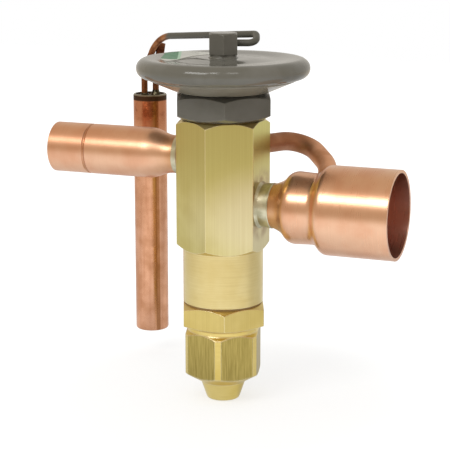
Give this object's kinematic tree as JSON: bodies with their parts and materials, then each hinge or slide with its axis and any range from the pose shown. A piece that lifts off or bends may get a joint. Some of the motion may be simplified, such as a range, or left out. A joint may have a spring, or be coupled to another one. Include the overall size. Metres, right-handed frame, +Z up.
{
  "type": "thermostatic expansion valve",
  "caption": "Refrigerant expansion valve: brass hexagon body, copper solder fittings, domed power element, capillary bulb, equalizer tube and seal cap.",
  "frame": {"origin": "centre of the outlet fitting's mouth", "axes": "+X out of the outlet fitting, +Z up along the valve axis towards the power element, +Y towards the sensing bulb and equalizer tube"},
  "size_m": [0.1276, 0.0768, 0.1304],
  "materials": {
    "bar_brass": "drawn hexagon bar, brushed",
    "turned_brass": "turned and lightly polished",
    "spun_copper": "satin spun copper",
    "bent_copper": "satin drawn copper",
    "capillary_copper": "drawn copper, painted near the power element",
    "heat_stained_copper": "drawn copper, heat stained at its top",
    "soft_copper": "annealed copper",
    "silver_braze": "cooled braze",
    "dark_braze": "fluxed braze",
    "grey_enamel": "glossy stoved enamel",
    "printed_film": "satin film",
    "stainless_steel": "turned or pressed stainless steel",
    "spring_steel": "drawn spring wire",
    "stem_steel": "turned steel",
    "graphite_packing": "pressed graphite",
    "dark_gasket": "fibre gasket"
  },
  "bodies": {
    "valve": {"valve_body": "bar_brass", "valve_port": "stainless_steel", "rod_packing": "graphite_packing", "outlet_fitting": "spun_copper", "inlet_fitting": "spun_copper", "equalizer_tube": "bent_copper", "inlet_braze": "silver_braze", "outlet_braze": "silver_braze", "equalizer_body_braze": "silver_braze", "equalizer_end_braze": "silver_braze", "inlet_strainer": "stainless_steel", "element_nut": "grey_enamel", "element_gasket": "soft_copper", "lower_case": "grey_enamel", "upper_case": "grey_enamel", "diaphragm": "stainless_steel", "element_label": "printed_film", "capillary_boss": "grey_enamel", "capillary_tube": "capillary_copper", "sensing_bulb": "heat_stained_copper", "bulb_plug": "heat_stained_copper", "bulb_brazes": "dark_braze", "charging_stub": "heat_stained_copper", "superheat_spring": "spring_steel", "bottom_gasket": "dark_gasket", "bottom_cap": "turned_brass", "stem_packing": "graphite_packing", "packing_nut": "turned_brass"},
    "cap_washer": {"cap_washer": "soft_copper"},
    "seal_cap": {"seal_cap": "turned_brass"},
    "adjusting_stem": {"adjusting_stem": "stem_steel"},
    "spring_guide": {"spring_guide": "turned_brass"},
    "pin_carrier": {"pin_carrier": "turned_brass", "valve_pin": "stainless_steel", "push_rods": "stainless_steel", "buffer_plate": "stainless_steel"}
  },
  "joints": [
    {"name": "seal_cap_travel", "type": "slide", "parent": "valve", "child": "cap_washer", "axis": [0, 0, -1], "range_m": [0, 0.00794]},
    {"name": "seal_cap_turn", "type": "hinge", "parent": "cap_washer", "child": "seal_cap", "pos_m": [-0.06327, 0, 0], "axis": [0, 0, -1], "range_deg": [0, 1800]},
    {"name": "stem_turn", "type": "hinge", "parent": "valve", "child": "adjusting_stem", "pos_m": [-0.06327, 0, 0], "axis": [0, 0, 1], "range_deg": [-1620, 1620]},
    {"name": "guide_travel", "type": "slide", "parent": "valve", "child": "spring_guide", "axis": [0, 0, 1], "range_m": [-0.00476, 0.00476], "deforming": ["superheat_spring"]},
    {"name": "carrier_travel", "type": "slide", "parent": "valve", "child": "pin_carrier", "axis": [0, 0, -1], "range_m": [0, 0.0009], "stiffness_N_per_m": 12000, "springref_m": -0.003, "deforming": ["diaphragm"]}
  ],
  "couplings": [
    {"joint": "seal_cap_travel", "follows": "seal_cap_turn", "m_per_rad": 0.00025266},
    {"joint": "guide_travel", "follows": "stem_turn", "m_per_rad": 0.00016844}
  ]
}
